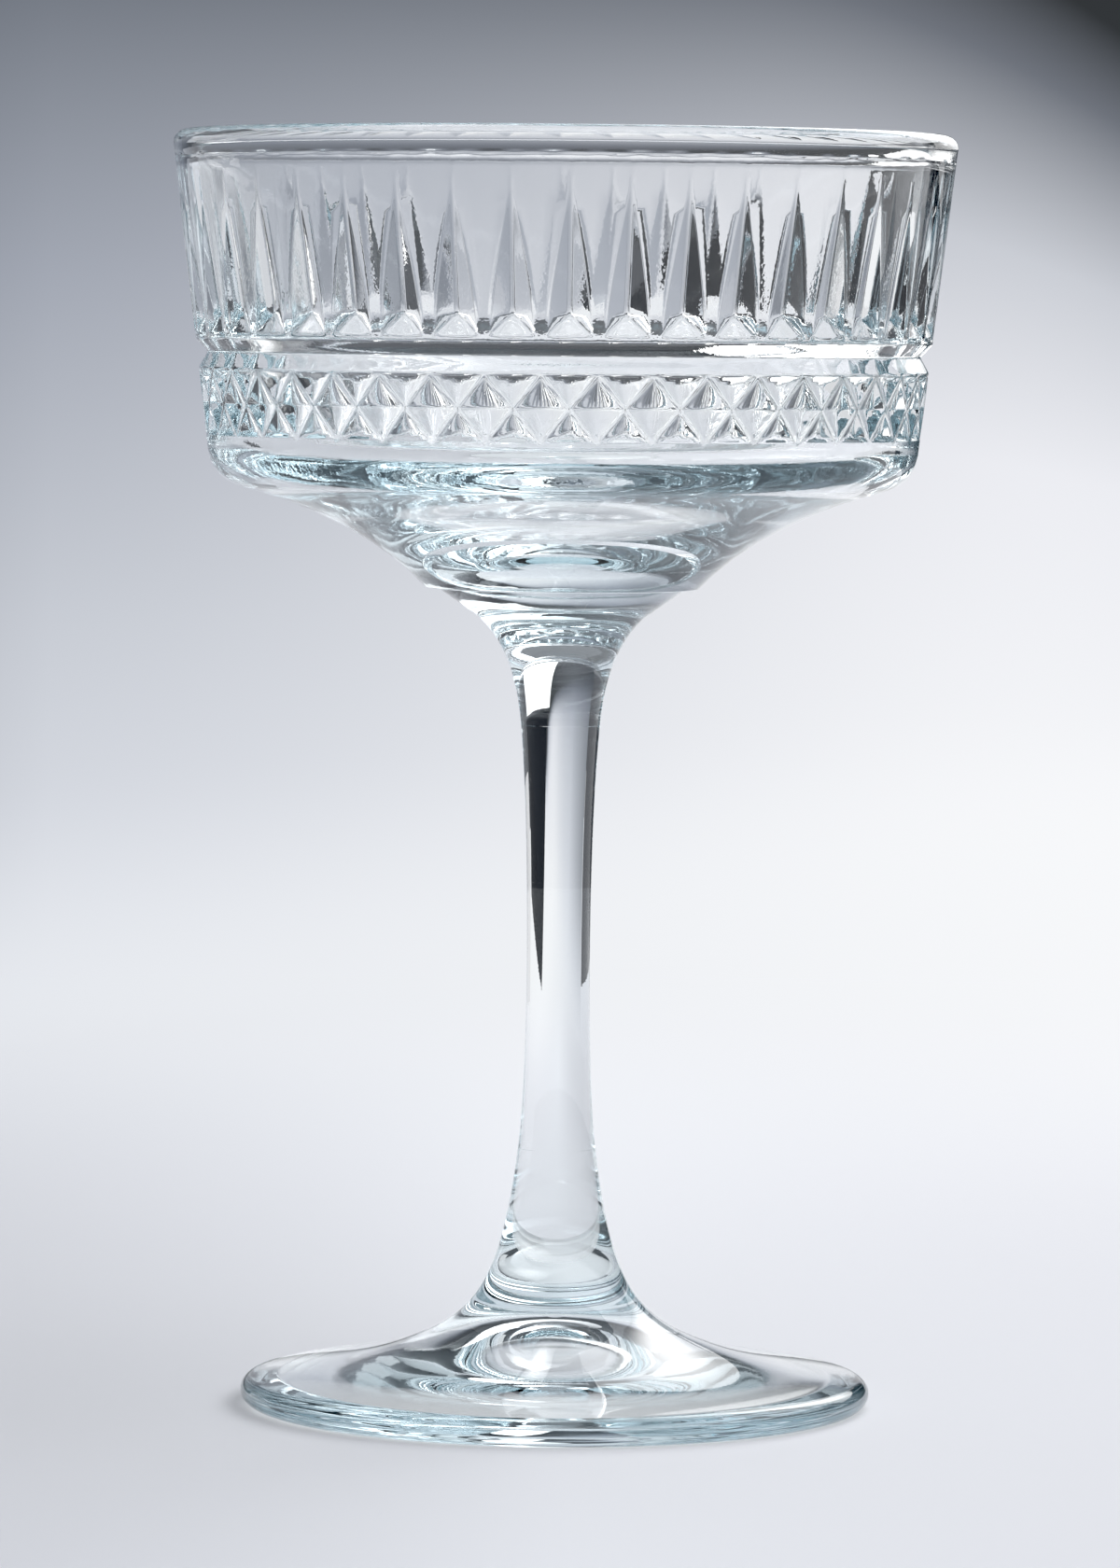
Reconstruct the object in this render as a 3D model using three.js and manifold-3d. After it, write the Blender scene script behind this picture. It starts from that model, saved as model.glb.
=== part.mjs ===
// A stemmed cocktail glass in clear pressed glass, in millimetres, standing on z = 0 with +Z up.
// Four gathers of glass are fused end to end on flat faces: foot, stem, boss and bowl.
import * as THREE from "three";
import { ConvexGeometry } from "three/addons/geometries/ConvexGeometry.js";
import { mergeVertices } from "three/addons/utils/BufferGeometryUtils.js";
import Module from "manifold-3d";

// Heights of the lower three pieces, from the table up
const FOOT_HEIGHT = 31.25;
const STEM_LENGTH = 51.5;
const BOSS_HEIGHT = 16.5;

// Foot
const FOOT_DIAMETER = 76.5;
const FOOT_EDGE_THICKNESS = 3.4;
const FOOT_EDGE_TILT = 10;
const REST_RING_WIDTH = 3.5;
const HOLLOW_HEIGHT = 8;
const HOLLOW_DOME_DIAMETER = 15.6;
const HOLLOW_DOME_FOOT = 5.85;
const HOLLOW_DOME_TILT = 23;
const HOLLOW_EDGE_TILT = 10;
const FOOT_FLARE_DIAMETER = 38;
const FOOT_FLARE_HEIGHT = 7.25;
const FOOT_FLARE_TILT = 21;

// Stem
const STEM_FOOT_DIAMETER = 9.4;
const STEM_WAIST_DIAMETER = 7.7;
const STEM_WAIST_HEIGHT = 22.5;
const STEM_BOSS_DIAMETER = 9.6;
const STEM_FOOT_TAPER = 7;
const STEM_BOSS_TAPER = 5;

// Boss
const BOSS_DIAMETER = 30;
const BOSS_CORNER_DIAMETER = 20.2;
const BOSS_CONE_HEIGHT = 3.4;
const BOSS_NECK_FLARE = 48;

// Underside of the bowl: a ledge over the boss, a trumpet-shaped flare and a rounded shoulder
const LEDGE_WIDTH = 1.9;
const LEDGE_CHAMFER = 0.45;
const TRUMPET_HEIGHT = 12.1;
const TRUMPET_LEDGE_ANGLE = 46;
const TRUMPET_SHOULDER_ANGLE = 15;
const SHOULDER_WIDTH = 4.05;
const SHOULDER_RISE = 4.5;

// Bands of the bowl's wall over the shoulder, from the bottom up
const PLAIN_BAND_HEIGHT = 1.8;
const DIAMOND_BAND_HEIGHT = 7.7;
const DIAMOND_BAND_LAND = 0.35;
const GROOVE_HEIGHT = 3.4;
const FLUTE_LAND = 0.75;
const FLUTE_LENGTH = 17.5;
const COLLAR_HEIGHT = 4.4;
const LIP_HEIGHT = 2.5;

// Wall, lip and bore of the bowl
const LIP_DIAMETER = 95;
const LIP_STEP = 0.3;
const LIP_OUTER_ROUND = 1.4;
const LIP_INNER_ROUND = 1.2;
const RIM_THICKNESS = 2.5;
const WALL_DRAFT = 6.8;
const BORE_DRAFT = 10;
const SHOULDER_THICKNESS = 2.9;
const BORE_CORNER_WIDTH = 6.2;
const BORE_CORNER_RISE = 4.5;
const FLOOR_DIAMETER = 10;
const FLOOR_THICKNESS = 5.5;
const FLOOR_TILT = 11;

// Cuts in the wall: the waist groove all round, and the ornament that repeats
const GROOVE_DEPTH = 1.3;
const GROOVE_LOWER_RUN = 1.85;
const ORNAMENT_COUNT = 42;
const FLUTE_GAP = 1.27;
const FLUTE_DEPTH = 1;
const FLUTE_END_RUN = 2.4;
const DIAMOND_DEPTH = 1.1;
const TRIANGLE_DEPTH = 0.9;
const TRIANGLE_END_RUN = 1;
const RIB_WIDTH = 0.55;

// Fineness of the turned faces: the bowl has a line of corners under each cut and each land
const BOWL_SEGMENTS = 2 * ORNAMENT_COUNT;
const FOOT_SEGMENTS = 60;
const STEM_SEGMENTS = 36;
const CURVE_STEPS = 4;

// Levels in the bowl, over its ledge
const WALL_FOOT = TRUMPET_HEIGHT + SHOULDER_RISE;
const BAND_BOTTOM = WALL_FOOT + PLAIN_BAND_HEIGHT;
const BAND_MIDDLE = BAND_BOTTOM + DIAMOND_BAND_HEIGHT / 2;
const GROOVE_BOTTOM = BAND_BOTTOM + DIAMOND_BAND_HEIGHT + DIAMOND_BAND_LAND;
const GROOVE_TOP = GROOVE_BOTTOM + GROOVE_HEIGHT;
const FLUTE_FOOT = GROOVE_TOP + FLUTE_LAND;
const LIP_FOOT = FLUTE_FOOT + FLUTE_LENGTH + COLLAR_HEIGHT;
const BOWL_HEIGHT = LIP_FOOT + LIP_HEIGHT;

const wasm = await Module();
wasm.setup();

// Continues an outline to (radius, height) in one smooth sweep that leaves and arrives at the given
// directions in degrees; the shares say how much of the chord each end pulls along its direction.
function sweep(outline, radius, height, leave, arrive, leaveShare, arriveShare) {
  const from = outline.currentPoint.clone();
  const to = new THREE.Vector2(radius, height);
  const chord = from.distanceTo(to);
  const leaving = THREE.MathUtils.degToRad(leave);
  const arriving = THREE.MathUtils.degToRad(arrive);
  outline.bezierCurveTo(
    from.x + leaveShare * chord * Math.cos(leaving),
    from.y + leaveShare * chord * Math.sin(leaving),
    to.x - arriveShare * chord * Math.cos(arriving),
    to.y - arriveShare * chord * Math.sin(arriving),
    to.x,
    to.y,
  );
}

// Turns an outline of (radius, height) points round +Z. The outline starts and ends on the axis.
function turned(outline, segments) {
  const points = outline.getPoints(CURVE_STEPS);
  return new THREE.LatheGeometry(points, segments).rotateX(Math.PI / 2);
}

// A closed geometry as a solid for joining and cutting.
function solid(geometry) {
  const bare = geometry.clone();
  bare.deleteAttribute("normal");
  bare.deleteAttribute("uv");
  const merged = mergeVertices(bare, 1e-4);
  return new wasm.Manifold(
    new wasm.Mesh({
      numProp: 3,
      vertProperties: merged.attributes.position.array,
      triVerts: new Uint32Array(merged.index.array),
    }),
  );
}

// A solid as a geometry again.
function geometryOf(body) {
  const mesh = body.getMesh();
  return new THREE.BufferGeometry()
    .setAttribute("position", new THREE.BufferAttribute(mesh.vertProperties, 3))
    .setIndex(new THREE.BufferAttribute(mesh.triVerts, 1));
}

// Foot: domed hollow underneath, flat resting ring, rounded edge, shallow cone and flare into the stem.
function footOutline() {
  const edgeRadius = FOOT_EDGE_THICKNESS / 2;
  const edgeCentre = FOOT_DIAMETER / 2 - edgeRadius;
  const ringInner = edgeCentre - REST_RING_WIDTH;
  const edgeEnd = THREE.MathUtils.degToRad(90 - FOOT_EDGE_TILT);
  const outline = new THREE.Path();
  outline.moveTo(0, HOLLOW_HEIGHT);
  sweep(outline, HOLLOW_DOME_DIAMETER / 2, HOLLOW_DOME_FOOT, 0, -HOLLOW_DOME_TILT, 0.4, 0.3);
  sweep(outline, ringInner, 0, -HOLLOW_DOME_TILT, -HOLLOW_EDGE_TILT, 0.25, 0.4);
  outline.lineTo(edgeCentre, 0);
  outline.absarc(edgeCentre, edgeRadius, edgeRadius, -Math.PI / 2, edgeEnd, false);
  const coneLeave = 180 - FOOT_EDGE_TILT;
  const coneArrive = 180 - FOOT_FLARE_TILT;
  sweep(outline, FOOT_FLARE_DIAMETER / 2, FOOT_FLARE_HEIGHT, coneLeave, coneArrive, 0.33, 0.33);
  const stemFoot = STEM_FOOT_DIAMETER / 2;
  sweep(outline, stemFoot, FOOT_HEIGHT, coneArrive, 90 + STEM_FOOT_TAPER, 0.33, 0.65);
  outline.lineTo(0, FOOT_HEIGHT);
  return outline;
}

// Stem: a drawn rod with a gentle waist.
function stemOutline() {
  const waist = STEM_WAIST_DIAMETER / 2;
  const bossEnd = STEM_BOSS_DIAMETER / 2;
  const outline = new THREE.Path();
  outline.moveTo(0, 0);
  outline.lineTo(STEM_FOOT_DIAMETER / 2, 0);
  sweep(outline, waist, STEM_WAIST_HEIGHT, 90 + STEM_FOOT_TAPER, 90, 0.22, 0.45);
  sweep(outline, bossEnd, STEM_LENGTH, 90, 90 - STEM_BOSS_TAPER, 0.4, 0.27);
  outline.lineTo(0, STEM_LENGTH);
  return outline;
}

// Boss: a hollow-sided neck that opens into a short cone under the bowl.
function bossOutline() {
  const cornerHeight = BOSS_HEIGHT - BOSS_CONE_HEIGHT;
  const neckEnd = 90 - BOSS_NECK_FLARE;
  const outline = new THREE.Path();
  outline.moveTo(0, 0);
  outline.lineTo(STEM_BOSS_DIAMETER / 2, 0);
  sweep(outline, BOSS_CORNER_DIAMETER / 2, cornerHeight, 90 - STEM_BOSS_TAPER, neckEnd, 0.43, 0.29);
  outline.lineTo(BOSS_DIAMETER / 2, BOSS_HEIGHT);
  outline.lineTo(0, BOSS_HEIGHT);
  return outline;
}

// Radius of the bowl's outer wall at a height over the ledge: a straight cone under the lip.
function wallRadius(height) {
  const slope = Math.tan(THREE.MathUtils.degToRad(WALL_DRAFT));
  return LIP_DIAMETER / 2 - LIP_STEP - slope * (LIP_FOOT - height);
}

// Radius of the bore: a steeper cone than the wall outside it, so that the wall thickens downwards.
function boreRadius(height) {
  const slope = Math.tan(THREE.MathUtils.degToRad(BORE_DRAFT));
  return wallRadius(LIP_FOOT) - RIM_THICKNESS - slope * (LIP_FOOT - height);
}

// Bowl: ledge, trumpet-shaped underside, shoulder, wall with its waist groove, rolled lip and bore.
function bowlOutline() {
  const ledge = BOSS_DIAMETER / 2 + LEDGE_WIDTH;
  const outside = LIP_DIAMETER / 2;
  const inside = boreRadius(LIP_FOOT);
  const grooveValley = GROOVE_BOTTOM + GROOVE_LOWER_RUN;
  const outerRound = Math.min(LIP_OUTER_ROUND, (outside - inside) / 2);
  const innerRound = Math.min(LIP_INNER_ROUND, (outside - inside) / 2);
  const trumpet = wallRadius(WALL_FOOT) - SHOULDER_WIDTH;
  const floorEdgeHeight = TRUMPET_HEIGHT + SHOULDER_THICKNESS;
  const boreFoot = floorEdgeHeight + BORE_CORNER_RISE;
  const floorEdge = boreRadius(boreFoot) - BORE_CORNER_WIDTH;
  const wallUp = 90 - WALL_DRAFT;
  const boreDown = 270 - BORE_DRAFT;
  const floorIn = 180 + FLOOR_TILT;
  const outline = new THREE.Path();
  outline.moveTo(0, 0);
  outline.lineTo(ledge - LEDGE_CHAMFER, 0);
  outline.lineTo(ledge, LEDGE_CHAMFER);
  sweep(outline, trumpet, TRUMPET_HEIGHT, TRUMPET_LEDGE_ANGLE, TRUMPET_SHOULDER_ANGLE, 0.29, 0.4);
  sweep(outline, wallRadius(WALL_FOOT), WALL_FOOT, TRUMPET_SHOULDER_ANGLE, wallUp, 0.38, 0.38);
  outline.lineTo(wallRadius(GROOVE_BOTTOM), GROOVE_BOTTOM);
  outline.lineTo(wallRadius(grooveValley) - GROOVE_DEPTH, grooveValley);
  outline.lineTo(wallRadius(GROOVE_TOP), GROOVE_TOP);
  outline.lineTo(wallRadius(LIP_FOOT), LIP_FOOT);
  outline.lineTo(outside, LIP_FOOT + LIP_STEP);
  outline.lineTo(outside, BOWL_HEIGHT - outerRound);
  outline.quadraticCurveTo(outside, BOWL_HEIGHT, outside - outerRound, BOWL_HEIGHT);
  outline.lineTo(inside + innerRound, BOWL_HEIGHT);
  outline.quadraticCurveTo(inside, BOWL_HEIGHT, inside, BOWL_HEIGHT - innerRound);
  outline.lineTo(inside, LIP_FOOT);
  outline.lineTo(boreRadius(boreFoot), boreFoot);
  sweep(outline, floorEdge, floorEdgeHeight, boreDown, floorIn, 0.38, 0.38);
  sweep(outline, FLOOR_DIAMETER / 2, FLOOR_THICKNESS, floorIn, 180, 0.35, 0.35);
  outline.lineTo(0, FLOOR_THICKNESS);
  return outline;
}

// A point on the bowl's wall: across is measured round the wall from its front, depth is under it.
function onWall(across, height, depth) {
  const radius = wallRadius(height) - depth;
  const angle = across / wallRadius(height) - Math.PI / 2;
  return new THREE.Vector3(radius * Math.cos(angle), radius * Math.sin(angle), height);
}

// A sunk cut with flat facets that meet at its deepest point. The corners lie on the wall, and the
// cutter runs out past them so that it leaves the wall cleanly.
const CUTTER_OVERSHOOT = 1.5;
function sunkCut(deepest, corners) {
  const outer = corners.map((corner) => deepest.clone().lerp(corner, CUTTER_OVERSHOOT));
  return new ConvexGeometry([deepest, ...outer]);
}

// One repeat of the ornament: a flute over the groove, and under it a diamond and two triangles
// that leave crossed ribs standing between them.
function ornamentCuts() {
  const halfFlute = (Math.PI * wallRadius(FLUTE_FOOT)) / ORNAMENT_COUNT - FLUTE_GAP / 2;
  const halfPitch = (Math.PI * wallRadius(BAND_MIDDLE)) / ORNAMENT_COUNT;
  const halfBand = DIAMOND_BAND_HEIGHT / 2;
  const ribLength = Math.hypot(halfPitch, halfBand);
  const ribAcross = ((RIB_WIDTH / 2) * ribLength) / halfBand;
  const ribUp = ((RIB_WIDTH / 2) * ribLength) / halfPitch;
  const halfWidth = halfPitch - ribAcross;
  const flute = sunkCut(onWall(0, FLUTE_FOOT + FLUTE_END_RUN, FLUTE_DEPTH), [
    onWall(0, FLUTE_FOOT + FLUTE_LENGTH, 0),
    onWall(-halfFlute, FLUTE_FOOT, 0),
    onWall(halfFlute, FLUTE_FOOT, 0),
  ]);
  const diamond = sunkCut(onWall(halfPitch, BAND_MIDDLE, DIAMOND_DEPTH), [
    onWall(halfPitch - halfWidth, BAND_MIDDLE, 0),
    onWall(halfPitch + halfWidth, BAND_MIDDLE, 0),
    onWall(halfPitch, BAND_MIDDLE - halfBand + ribUp, 0),
    onWall(halfPitch, BAND_MIDDLE + halfBand - ribUp, 0),
  ]);
  const triangles = [-1, 1].map((side) =>
    sunkCut(onWall(0, BAND_MIDDLE + side * (halfBand - TRIANGLE_END_RUN), TRIANGLE_DEPTH), [
      onWall(0, BAND_MIDDLE + side * ribUp, 0),
      onWall(-halfWidth, BAND_MIDDLE + side * halfBand, 0),
      onWall(halfWidth, BAND_MIDDLE + side * halfBand, 0),
    ]),
  );
  return [flute, diamond, ...triangles];
}

// The bowl with its ornament cut in, one repeat after another round the wall.
function bowlGeometry() {
  let body = solid(turned(bowlOutline(), BOWL_SEGMENTS));
  const cuts = ornamentCuts();
  for (let i = 0; i < ORNAMENT_COUNT; i++) {
    const turn = (2 * Math.PI * i) / ORNAMENT_COUNT;
    for (const cut of cuts) {
      body = body.subtract(solid(cut.clone().rotateZ(turn)));
    }
  }
  return geometryOf(body);
}

const glass = new THREE.Group();

// Adds one named piece of clear glass whose base lies at a height over the table.
function addPiece(name, geometry, base) {
  const clearGlass = new THREE.MeshStandardMaterial({
    color: 0xe4eff0,
    roughness: 0.03,
    metalness: 0,
    transparent: true,
    opacity: 0.35,
  });
  const piece = new THREE.Mesh(geometry, clearGlass);
  piece.name = name;
  piece.position.z = base;
  glass.add(piece);
}

addPiece("foot", turned(footOutline(), FOOT_SEGMENTS), 0);
addPiece("stem", turned(stemOutline(), STEM_SEGMENTS), FOOT_HEIGHT);
addPiece("boss", turned(bossOutline(), STEM_SEGMENTS), FOOT_HEIGHT + STEM_LENGTH);
addPiece("bowl", bowlGeometry(), FOOT_HEIGHT + STEM_LENGTH + BOSS_HEIGHT);

export default glass;
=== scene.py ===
"""A stemmed cocktail glass in clear pressed glass, standing on a pale studio sweep.

Sizes of the glass are in millimetres, outlines are (radius, height over the table), and both become metres
when a piece is made. The bowl, boss, stem and foot are separate pieces that meet on flat fused faces.
"""

import math

import bpy
import numpy as np
from mathutils import Matrix


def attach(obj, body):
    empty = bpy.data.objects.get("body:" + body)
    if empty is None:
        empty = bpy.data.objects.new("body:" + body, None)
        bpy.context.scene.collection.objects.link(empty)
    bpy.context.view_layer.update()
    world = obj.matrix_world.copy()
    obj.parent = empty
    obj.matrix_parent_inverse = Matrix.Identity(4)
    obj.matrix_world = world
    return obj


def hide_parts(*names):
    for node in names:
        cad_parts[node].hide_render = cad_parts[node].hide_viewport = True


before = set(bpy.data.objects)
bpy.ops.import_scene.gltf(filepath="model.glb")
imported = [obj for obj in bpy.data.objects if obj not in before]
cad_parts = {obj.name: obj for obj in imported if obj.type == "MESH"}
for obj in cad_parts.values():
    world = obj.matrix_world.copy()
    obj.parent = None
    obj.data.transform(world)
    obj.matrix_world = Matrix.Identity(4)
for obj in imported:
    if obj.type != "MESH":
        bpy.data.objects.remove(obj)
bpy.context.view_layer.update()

MM = 0.001

# Heights of the fused faces over the table
FOOT_TOP = 31.25
STEM_LENGTH = 51.5
BOSS_HEIGHT = 16.5
STEM_TOP = FOOT_TOP + STEM_LENGTH
LEDGE = STEM_TOP + BOSS_HEIGHT

# Gap at a fused face, too small to see, that keeps the faces of the two pieces apart
HAIR = 0.02

# Foot
FOOT_RADIUS = 38.25
FOOT_EDGE = 1.7
FOOT_EDGE_TILT = 10
REST_RING_WIDTH = 3.5
HOLLOW_RISE = 3.0
DOME_RISE = 5.0
DOME_REACH = 11.0
FLARE_FOOT = (19.0, 7.25)
FLARE_TILT = 21

# Stem
STEM_FOOT_RADIUS = 4.7
STEM_WAIST = (3.85, FOOT_TOP + 22.5)
STEM_BOSS_RADIUS = 4.8
STEM_FOOT_TAPER = 7
STEM_BOSS_TAPER = 5

# Boss
BOSS_RADIUS = 15.0
BOSS_CORNER = (10.1, LEDGE - 3.4)
BOSS_NECK_FLARE = 48

# Bowl, in heights over its ledge
LEDGE_RADIUS = 16.9
LEDGE_CHAMFER = 0.45
TRUMPET_HEIGHT = 12.1
TRUMPET_FOOT_TILT = 46
TRUMPET_TOP_TILT = 15
SHOULDER_WIDTH = 4.05
WALL_FOOT = 16.6
BAND_BOTTOM = 18.4
BAND_TOP = 26.1
BAND_MIDDLE = (BAND_BOTTOM + BAND_TOP) / 2
GROOVE_BOTTOM = 26.45
GROOVE_VALLEY = 28.3
GROOVE_TOP = 29.85
FLUTE_FOOT = 30.6
FLUTE_DEEPEST = 33.0
FLUTE_TIP = 48.1
SEAM_HEIGHT = 51.55
RIM_START = SEAM_HEIGHT + 0.55
LIP_FOOT = 52.5
LIP_EDGE = 53.1
BOWL_HEIGHT = 55.0
LIP_RADIUS = 47.32
LIP_STEP = 0.12
LIP_OUTER_ROUND = 1.6
LIP_OUTER_START = 12
LIP_INNER_ROUND = 1.25
WALL_DRAFT = 6.8
RIM_THICKNESS = 2.5
BORE_DRAFT = 10.0
BORE_FOOT = 19.5
BORE_CORNER_WIDTH = 6.2
FLOOR_EDGE_HEIGHT = 15.0
FLOOR_TILT = 11
FLOOR_RADIUS = 5.0
FLOOR_THICKNESS = 5.5
FLOOR_MIDDLE = 1.5

# Ornament of the bowl: depths and widths of its cuts
REPEATS = 42
GROOVE_DEPTH = 1.3
FLUTE_SLOPE = 0.47
FLUTE_ROUND = 0.3
FLUTE_GAP = 1.27
FLUTE_BOW = 0.28
DIAMOND_DEPTH = 1.1
TRIANGLE_DEPTH = 0.9
TRIANGLE_END_RUN = 1.0
RIB_WIDTH = 0.55

# How far the folds inside the cuts, and the edges where they start, are rounded
FLUTE_FOLD = 0.16
FLUTE_EDGE = 0.07
DIAMOND_FOLD = 0.1
TRIANGLE_VALLEY = 0.12
TRIANGLE_FOLD = 0.1
RIB_EDGE = 0.08
GROOVE_FOLD = 0.18
GROOVE_EDGE = 0.1
SEAM_EDGE = 0.06

# Ring seam under the lip: its step, and the waves of its height and depth as (size, waves in a turn, phase)
SEAM_STEP = 0.05
SEAM_FALL = 0.12
SEAM_EASE = 0.25
SEAM_HEIGHT_WAVES = ((0.03, 17, 1), (0.02, 41, 0), (0.03, 73, 2))
SEAM_DEPTH_WAVES = ((0.3, 23, 0), (0.3, 61, 1))

# Where the inner control points of each sweep lie, as shares of its chord from its start and from its end
CONE_SHARES = (0.33, 0.33)
FLARE_SHARES = (0.33, 0.65)
STEM_LOWER_SHARES = (0.22, 0.45)
STEM_UPPER_SHARES = (0.4, 0.27)
NECK_SHARES = (0.43, 0.29)
TRUMPET_SHARES = (0.29, 0.4)
CORNER_SHARES = (0.38, 0.38)
FLOOR_SHARES = (0.35, 0.35)

# How each outline is polished and cut: softness, longest step, and bend in degrees over which steps shorten
FOOT_POLISH = (0.2, 1.2, 3)
STEM_POLISH = (0.5, 1.0, 2)
BOSS_POLISH = (0.3, 0.6, 3)
UNDER_POLISH = (0.16, 5.0, 16)
RIM_POLISH = (0.16, 8.0, 16)

# Points on a curve, columns round a plain piece, and steps for measuring along an outline and for slopes
CURVE_POINTS = 64
ARC_POINTS = 48
COLUMNS = 240
FINE_STEP = 0.02
SLOPE_STEP = 0.004
USUAL_RADIUS = 45
SLOPE_TURN = SLOPE_STEP / USUAL_RADIUS


# Outlines

def heading(degrees):
    """The unit step in a direction given in degrees from outward, turning up."""
    return np.array([math.cos(math.radians(degrees)), math.sin(math.radians(degrees))])


def sweep(start, end, leave, arrive, shares):
    """A cubic curve from start to end. It leaves and arrives at the given directions in degrees, and
    its two inner control points lie along them at the given shares of the chord."""
    start = np.array(start, float)
    end = np.array(end, float)
    chord = np.linalg.norm(end - start)
    first = start + shares[0] * chord * heading(leave)
    second = end - shares[1] * chord * heading(arrive)
    t = np.linspace(0, 1, CURVE_POINTS)[:, None]
    s = 1 - t
    return s**3 * start + 3 * s * s * t * first + 3 * s * t * t * second + t**3 * end


def arc(centre, radius, first, last):
    """Points on a circle about centre, from the first to the last direction in degrees."""
    turn = np.radians(np.linspace(first, last, ARC_POINTS))
    return np.stack([centre[0] + radius * np.cos(turn), centre[1] + radius * np.sin(turn)], 1)


def corners(*points):
    """Straight runs between points."""
    return np.array(points, float)


def fire_polished(runs, softness, longest, turn):
    """Runs joined into one outline and softened as surface tension softens hot glass: each point is the
    average of the outline around it, weighted by a bell curve whose width is the softness. The outline is
    then cut into steps no longer than longest, and shorter where it bends by more than turn degrees.
    Returns the points and the outward normals of the outline."""
    raw = np.concatenate(runs)
    apart = np.r_[True, np.hypot(*np.diff(raw, axis=0).T) > 1e-6]
    raw = raw[apart]
    length = np.r_[0, np.cumsum(np.hypot(*np.diff(raw, axis=0).T))]
    count = int(length[-1] / FINE_STEP)
    even = np.linspace(0, length[-1], count)
    line = np.stack([np.interp(even, length, raw[:, k]) for k in (0, 1)], 1)
    reach = min(int(4 * softness / FINE_STEP), count - 2)
    bell = np.exp(-0.5 * (np.arange(-reach, reach + 1) * FINE_STEP / softness) ** 2)
    bell /= bell.sum()
    before = 2 * line[0] - line[reach:0:-1]
    after = 2 * line[-1] - line[-2:-reach - 2:-1]
    padded = np.concatenate([before, line, after])
    soft = np.stack([np.convolve(padded[:, k], bell, "valid") for k in (0, 1)], 1)
    along = np.gradient(soft, axis=0)
    along /= np.linalg.norm(along, axis=1)[:, None]
    angle = np.unwrap(np.arctan2(along[:, 1], along[:, 0]))
    bend = np.r_[0, np.abs(np.diff(angle))]
    cost = even / longest + np.cumsum(bend) / math.radians(turn)
    steps = np.linspace(0, cost[-1], int(math.ceil(cost[-1])) + 1)
    points = np.stack([np.interp(steps, cost, soft[:, k]) for k in (0, 1)], 1)
    angle = np.interp(steps, cost, angle)
    return points, np.stack([np.sin(angle), -np.cos(angle)], 1)


# Surfaces turned round the axis

def turned(outline, normals, turns):
    """Carries an outline round the axis. The two parameters are the row along the outline and the turn
    in radians; a point is (radius cos turn, radius sin turn, height), and so is its normal."""
    spin = np.stack([np.cos(turns), np.sin(turns)], 1)
    grids = []
    for line in (outline, normals):
        across = line[:, None, :1] * spin
        up = np.broadcast_to(line[:, None, 1:], across.shape[:2] + (1,))
        grids.append(np.concatenate([across, up], 2))
    return grids


def make_piece(name, places, normals, lower, upper, material, node):
    """Makes a closed piece from a grid of points in millimetres that runs round the axis and up along its
    outline. Each end closes on the axis at a height, with a fan of faces: lower and upper are (height,
    1 where the fan is fused to the next piece, else 0). The piece stands for the CAD node."""
    rows, columns = places.shape[:2]
    grid = np.arange(rows * columns).reshape(rows, columns)
    ahead = np.roll(grid, -1, axis=1)
    quads = np.stack([grid[:-1], ahead[:-1], ahead[1:], grid[1:]], -1).reshape(-1, 4)
    low = rows * columns
    high = low + 1
    under = np.stack([np.full(columns, low), ahead[0], grid[0]], -1)
    over = np.stack([np.full(columns, high), grid[-1], ahead[-1]], -1)
    points = np.concatenate([places.reshape(-1, 3), [[0, 0, lower[0]], [0, 0, upper[0]]]]) * MM
    corner = np.concatenate([quads.ravel(), under.ravel(), over.ravel()])
    sizes = np.r_[np.full(len(quads), 4), np.full(2 * columns, 3)]
    starts = np.r_[0, np.cumsum(sizes)[:-1]]
    fused = np.r_[np.zeros(len(quads)), np.full(columns, lower[1]), np.full(columns, upper[1])]
    leaning = np.concatenate([
        normals.reshape(-1, 3)[quads.ravel()],
        np.tile([0.0, 0.0, -1.0], (3 * columns, 1)),
        np.tile([0.0, 0.0, 1.0], (3 * columns, 1)),
    ])
    mesh = bpy.data.meshes.new(name)
    mesh.vertices.add(len(points))
    mesh.loops.add(len(corner))
    mesh.polygons.add(len(sizes))
    mesh.vertices.foreach_set("co", points.ravel())
    mesh.loops.foreach_set("vertex_index", corner.astype(np.int32))
    mesh.polygons.foreach_set("loop_start", starts.astype(np.int32))
    mesh.polygons.foreach_set("use_smooth", np.ones(len(sizes), bool))
    mesh.materials.append(material)
    mesh.update(calc_edges=True)
    mesh.attributes.new("fused", "FLOAT", "FACE").data.foreach_set("value", fused.astype(np.float32))
    mesh.normals_split_custom_set(leaning)
    piece = bpy.data.objects.new(name, mesh)
    bpy.context.collection.objects.link(piece)
    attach(piece, "root")
    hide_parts(node)


# Bowl

def wall_radius(height):
    """Radius of the bowl's plain outer wall: a straight cone under the lip."""
    return LIP_RADIUS - LIP_STEP - math.tan(math.radians(WALL_DRAFT)) * (LIP_FOOT - height)


def half_pitch(height):
    """Half the width of one repeat of the ornament, measured round the wall."""
    return math.pi * wall_radius(height) / REPEATS


def soft_least(a, b, soft):
    """The smaller of two depths, with the edge where they meet rounded."""
    return (a + b - np.sqrt((a - b) ** 2 + soft**2)) / 2


def soft_above(depth, soft):
    """A depth where it is above nothing, with the edge where it starts rounded."""
    return (depth + np.sqrt(depth**2 + soft**2)) / 2


def soft_size(distance, soft):
    """The size of a distance, with the fold at nothing rounded."""
    return np.sqrt(distance**2 + soft**2)


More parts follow.
